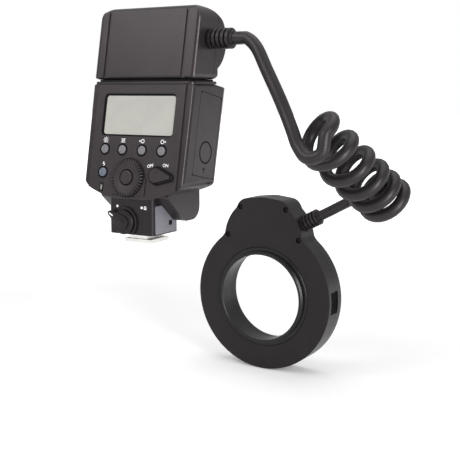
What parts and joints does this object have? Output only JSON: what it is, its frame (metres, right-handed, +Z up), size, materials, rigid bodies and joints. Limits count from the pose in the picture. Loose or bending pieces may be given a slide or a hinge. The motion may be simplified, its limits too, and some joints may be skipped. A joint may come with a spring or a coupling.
{
  "type": "macro ring flash",
  "caption": "Macro ring flash: shoe-mounted control unit with display, dial and swivel head, joined by a curly cord to a ring-shaped flash head on a threaded lens adapter.",
  "frame": {"origin": "bottom centre of the shoe plate", "axes": "+Z up out of the shoe, +Y toward the ring head, +X to the right seen from behind the control panel"},
  "size_m": [0.1947, 0.18, 0.2504],
  "materials": {
    "shell_plastic": "fine grained satin",
    "panel_plastic": "fine grained satin",
    "soft_black": "satin",
    "cap_grey": "satin",
    "pilot_cap": "translucent satin",
    "display_glass": "gloss",
    "display_body": "satin",
    "board": "gloss",
    "steel": "satin",
    "gilt_contact": "polished",
    "cell_case": "satin wrap",
    "red_window": "dark gloss",
    "capacitor_sleeve": "gloss sleeve",
    "adapter_metal": "black anodised",
    "reflector_metal": "bright",
    "tube_glass": "clear",
    "diffuser_plastic": "milky",
    "lamp_lens": "clear",
    "screw_steel": "black oxide",
    "cord_rubber": "satin"
  },
  "bodies": {
    "control_unit": {"control_panel": "panel_plastic", "rear_housing": "shell_plastic", "front_housing": "shell_plastic", "base_cover": "shell_plastic", "assist_window": "red_window", "foot_block": "soft_black", "shoe_plate": "steel", "contact_pins": "gilt_contact", "lcd_window": "display_glass", "lcd_module": "display_body", "main_board": "board", "tact_switches": "display_body", "dial_encoder": "display_body", "sensor_window": "pilot_cap", "battery_tray": "soft_black", "battery_cells": "cell_case", "tray_contacts": "steel", "door_pins": "steel", "neck_collar": "soft_black", "lens_adapter": "adapter_metal", "cord_lead": "cord_rubber", "cord_coil": "cord_rubber", "cord_tail": "cord_rubber"},
    "button_lamp": {"button_lamp": "cap_grey"},
    "button_mode": {"button_mode": "cap_grey"},
    "button_a": {"button_a": "cap_grey"},
    "button_b": {"button_b": "cap_grey"},
    "pilot_button": {"pilot_button": "pilot_cap"},
    "set_button": {"set_button": "soft_black"},
    "dial": {"dial": "soft_black"},
    "power_switch": {"power_switch": "soft_black"},
    "lock_lever": {"lock_lever": "soft_black"},
    "lock_pin": {"lock_pin": "steel"},
    "battery_door": {"battery_door": "shell_plastic", "door_contacts": "steel"},
    "swivel_head": {"head_rear_shell": "shell_plastic", "head_front_shell": "shell_plastic", "capacitor": "capacitor_sleeve", "swivel_shaft": "steel", "head_gland": "cord_rubber"},
    "ring_head": {"ring_rear_cover": "shell_plastic", "ring_front_housing": "shell_plastic", "reflector_right": "reflector_metal", "reflector_left": "reflector_metal", "flash_tube_right": "tube_glass", "flash_tube_left": "tube_glass", "diffuser_right": "diffuser_plastic", "diffuser_left": "diffuser_plastic", "focus_lamps": "lamp_lens", "ring_board": "board", "ring_gland": "cord_rubber", "ring_screws": "screw_steel", "latch_spring_right": "steel", "latch_spring_left": "steel"},
    "latch_right": {"latch_right": "soft_black"},
    "latch_left": {"latch_left": "soft_black"}
  },
  "joints": [
    {"name": "button_lamp_press", "type": "slide", "parent": "control_unit", "child": "button_lamp", "axis": [0, 0.9799, -0.1994], "range_m": [0, 0.0005], "stiffness_N_per_m": 600, "springref_m": -0.001},
    {"name": "button_mode_press", "type": "slide", "parent": "control_unit", "child": "button_mode", "axis": [0, 0.9799, -0.1994], "range_m": [0, 0.0005], "stiffness_N_per_m": 600, "springref_m": -0.001},
    {"name": "button_a_press", "type": "slide", "parent": "control_unit", "child": "button_a", "axis": [0, 0.9799, -0.1994], "range_m": [0, 0.0005], "stiffness_N_per_m": 600, "springref_m": -0.001},
    {"name": "button_b_press", "type": "slide", "parent": "control_unit", "child": "button_b", "axis": [0, 0.9799, -0.1994], "range_m": [0, 0.0005], "stiffness_N_per_m": 600, "springref_m": -0.001},
    {"name": "pilot_button_press", "type": "slide", "parent": "control_unit", "child": "pilot_button", "axis": [0, 0.9799, -0.1994], "range_m": [0, 0.0005], "stiffness_N_per_m": 600, "springref_m": -0.001},
    {"name": "set_button_press", "type": "slide", "parent": "control_unit", "child": "set_button", "axis": [0, 0.9799, -0.1994], "range_m": [0, 0.0005], "stiffness_N_per_m": 600, "springref_m": -0.001},
    {"name": "dial_turn", "type": "hinge", "parent": "control_unit", "child": "dial", "pos_m": [-0.0022, -0.01401, 0.03784], "axis": [0, 0.9799, -0.1994], "continuous": true},
    {"name": "power_switch_turn", "type": "hinge", "parent": "control_unit", "child": "power_switch", "pos_m": [0.0176, -0.01361, 0.0398], "axis": [0, 0.9799, -0.1994], "range_deg": [0, 30]},
    {"name": "lock_lever_turn", "type": "hinge", "parent": "control_unit", "child": "lock_lever", "pos_m": [-0.004, -0.0155, 0.0125], "axis": [0, 1, 0], "range_deg": [0, 101.4]},
    {"name": "lock_pin_slide", "type": "slide", "parent": "control_unit", "child": "lock_pin", "axis": [0, 0, -1], "range_m": [0, 0.0012]},
    {"name": "battery_door_swing", "type": "hinge", "parent": "control_unit", "child": "battery_door", "pos_m": [0.03366, 0.01873, 0.05327], "axis": [0.0105, 0.1994, 0.9799], "range_deg": [0, 100]},
    {"name": "head_swivel", "type": "hinge", "parent": "control_unit", "child": "swivel_head", "pos_m": [0, 0.0107, 0.0932], "axis": [0, 0, 1], "range_deg": [-90, 90], "deforming": ["cord_lead"]},
    {"name": "ring_turn", "type": "hinge", "parent": "control_unit", "child": "ring_head", "pos_m": [0, 0.146, -0.062], "axis": [0, 1, 0], "range_deg": [-40, 40], "deforming": ["cord_tail", "cord_coil"]},
    {"name": "latch_right_press", "type": "slide", "parent": "ring_head", "child": "latch_right", "axis": [-1, 0, 0], "range_m": [0, 0.0025], "stiffness_N_per_m": 600, "springref_m": -0.002, "deforming": ["latch_spring_right"]},
    {"name": "latch_left_press", "type": "slide", "parent": "ring_head", "child": "latch_left", "axis": [1, 0, 0], "range_m": [0, 0.0025], "stiffness_N_per_m": 600, "springref_m": -0.002, "deforming": ["latch_spring_left"]}
  ],
  "couplings": [
    {"joint": "lock_lever_turn", "follows": "lock_pin_slide", "rad_per_m": 1454.4}
  ]
}
